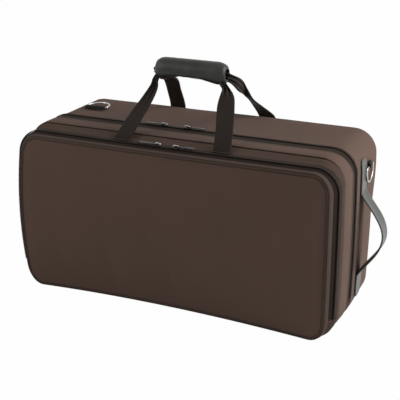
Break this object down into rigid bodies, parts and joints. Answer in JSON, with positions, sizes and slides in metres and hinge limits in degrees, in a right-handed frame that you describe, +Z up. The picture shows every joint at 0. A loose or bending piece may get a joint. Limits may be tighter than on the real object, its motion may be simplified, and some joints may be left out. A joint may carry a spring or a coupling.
{
  "type": "double trumpet case",
  "caption": "Soft-sided trumpet case for a pair of instruments, with a zipped lid, a front pocket, webbing carry handles, an end handle and D-rings.",
  "frame": {"origin": "on the floor, on the flat underside of the back shell, in the middle of the case's length", "axes": "+Z up, +X to the right of the front pocket, -Y out of the front pocket"},
  "size_m": [0.6081, 0.2391, 0.4104],
  "materials": {
    "brown_fabric": "woven, dull",
    "plush": "short plush",
    "foam": "plush over foam",
    "webbing": "ribbed webbing",
    "zip_tape": "zip tape",
    "piping": "piped edge",
    "grip_leather": "soft, half shiny",
    "end_leather": "soft, shiny",
    "nickel": "nickel plated",
    "dark_metal": "dark plated",
    "black_plastic": "hook tape"
  },
  "bodies": {
    "back": {"back_shell": "brown_fabric", "hinge_strip_shell_side": "brown_fabric", "back_lining": "plush", "accessory_box": "plush", "left_mouthpiece_block": "plush", "right_mouthpiece_block": "plush", "instrument_bed": "foam", "main_zip_shell_tape": "zip_tape", "end_handle": "end_leather", "left_ring_tab": "webbing", "right_ring_tab": "webbing", "rear_handle_left_anchor": "webbing", "rear_handle_right_anchor": "webbing", "lower_hook_patch": "black_plastic", "upper_hook_patch": "black_plastic"},
    "lid": {"lid_shell": "brown_fabric", "hinge_strip_lid_side": "brown_fabric", "pocket_gusset": "brown_fabric", "pocket_fold_lid_side": "brown_fabric", "lid_lining": "plush", "main_zip_lid_tape": "zip_tape", "lid_piping": "zip_tape", "pocket_zip_lid_tape": "zip_tape"},
    "pocket_front": {"pocket_panel": "brown_fabric", "pocket_fold_panel_side": "brown_fabric", "pocket_piping": "piping", "pocket_zip_panel_tape": "zip_tape"},
    "front_handle": {"front_handle_strap": "webbing", "grip_wrap": "grip_leather"},
    "rear_handle": {"rear_handle_strap": "webbing", "grip_flap": "grip_leather"},
    "left_ring": {"left_ring": "nickel"},
    "right_ring": {"right_ring": "nickel"},
    "accessory_lid": {"accessory_lid": "plush", "accessory_lid_tab": "webbing"},
    "lower_retaining_strap": {"lower_retaining_strap": "webbing"},
    "upper_retaining_strap": {"upper_retaining_strap": "webbing"},
    "main_left_slider": {"main_left_slider": "dark_metal"},
    "main_left_pull": {"main_left_pull": "dark_metal"},
    "main_right_slider": {"main_right_slider": "dark_metal"},
    "main_right_pull": {"main_right_pull": "dark_metal"},
    "pocket_left_slider": {"pocket_left_slider": "dark_metal"},
    "pocket_left_pull": {"pocket_left_pull": "dark_metal"},
    "pocket_right_slider": {"pocket_right_slider": "dark_metal"},
    "pocket_right_pull": {"pocket_right_pull": "dark_metal"}
  },
  "joints": [
    {"name": "lid_hinge", "type": "hinge", "parent": "back", "child": "lid", "pos_m": [0, -0.03, 0], "axis": [1, 0, 0], "range_deg": [0, 150]},
    {"name": "pocket_hinge", "type": "hinge", "parent": "lid", "child": "pocket_front", "pos_m": [0, -0.1096, -0.001], "axis": [1, 0, 0], "range_deg": [0, 110]},
    {"name": "front_handle_hinge", "type": "hinge", "parent": "lid", "child": "front_handle", "pos_m": [0, -0.1001, 0.2828], "axis": [1, 0, 0], "range_deg": [0, 112]},
    {"name": "rear_handle_hinge", "type": "hinge", "parent": "back", "child": "rear_handle", "pos_m": [0, 0.0996, 0.281], "axis": [-1, 0, 0], "range_deg": [0, 150]},
    {"name": "left_ring_hinge", "type": "hinge", "parent": "back", "child": "left_ring", "pos_m": [-0.2191, 0.01979, 0.2962], "axis": [0.9997, 0, 0.0262], "range_deg": [0, 150]},
    {"name": "right_ring_hinge", "type": "hinge", "parent": "back", "child": "right_ring", "pos_m": [0.28221, 0.05074, 0.24757], "axis": [0.0635, -0.998, 0], "range_deg": [0, 120]},
    {"name": "accessory_lid_hinge", "type": "hinge", "parent": "back", "child": "accessory_lid", "pos_m": [0, -0.0057, 0.121], "axis": [1, 0, 0], "range_deg": [0, 110]},
    {"name": "lower_strap_hinge", "type": "hinge", "parent": "back", "child": "lower_retaining_strap", "pos_m": [0.045, -0.005, 0.115], "axis": [-1, 0, 0], "range_deg": [0, 45]},
    {"name": "upper_strap_hinge", "type": "hinge", "parent": "back", "child": "upper_retaining_strap", "pos_m": [-0.045, -0.005, 0.175], "axis": [1, 0, 0], "range_deg": [0, 45]},
    {"name": "main_left_slide", "type": "slide", "parent": "back", "child": "main_left_slider", "axis": [1, 0, 0], "range_m": [-0.168, 0.008]},
    {"name": "main_left_flip", "type": "hinge", "parent": "main_left_slider", "child": "main_left_pull", "pos_m": [-0.052, -0.03, 0.2949], "axis": [0, 1, 0], "range_deg": [0, 110]},
    {"name": "main_right_slide", "type": "slide", "parent": "back", "child": "main_right_slider", "axis": [1, 0, 0], "range_m": [-0.008, 0.23]},
    {"name": "main_right_flip", "type": "hinge", "parent": "main_right_slider", "child": "main_right_pull", "pos_m": [-0.01, -0.03, 0.2949], "axis": [0, -1, 0], "range_deg": [0, 110]},
    {"name": "pocket_left_slide", "type": "slide", "parent": "lid", "child": "pocket_left_slider", "axis": [1, 0, 0], "range_m": [-0.2, 0.003]},
    {"name": "pocket_left_flip", "type": "hinge", "parent": "pocket_left_slider", "child": "pocket_left_pull", "pos_m": [-0.02, -0.1148, 0.2859], "axis": [0, 1, 0], "range_deg": [0, 110]},
    {"name": "pocket_right_slide", "type": "slide", "parent": "lid", "child": "pocket_right_slider", "axis": [1, 0, 0], "range_m": [-0.003, 0.208]},
    {"name": "pocket_right_flip", "type": "hinge", "parent": "pocket_right_slider", "child": "pocket_right_pull", "pos_m": [0.012, -0.1148, 0.2859], "axis": [0, -1, 0], "range_deg": [0, 110]}
  ]
}
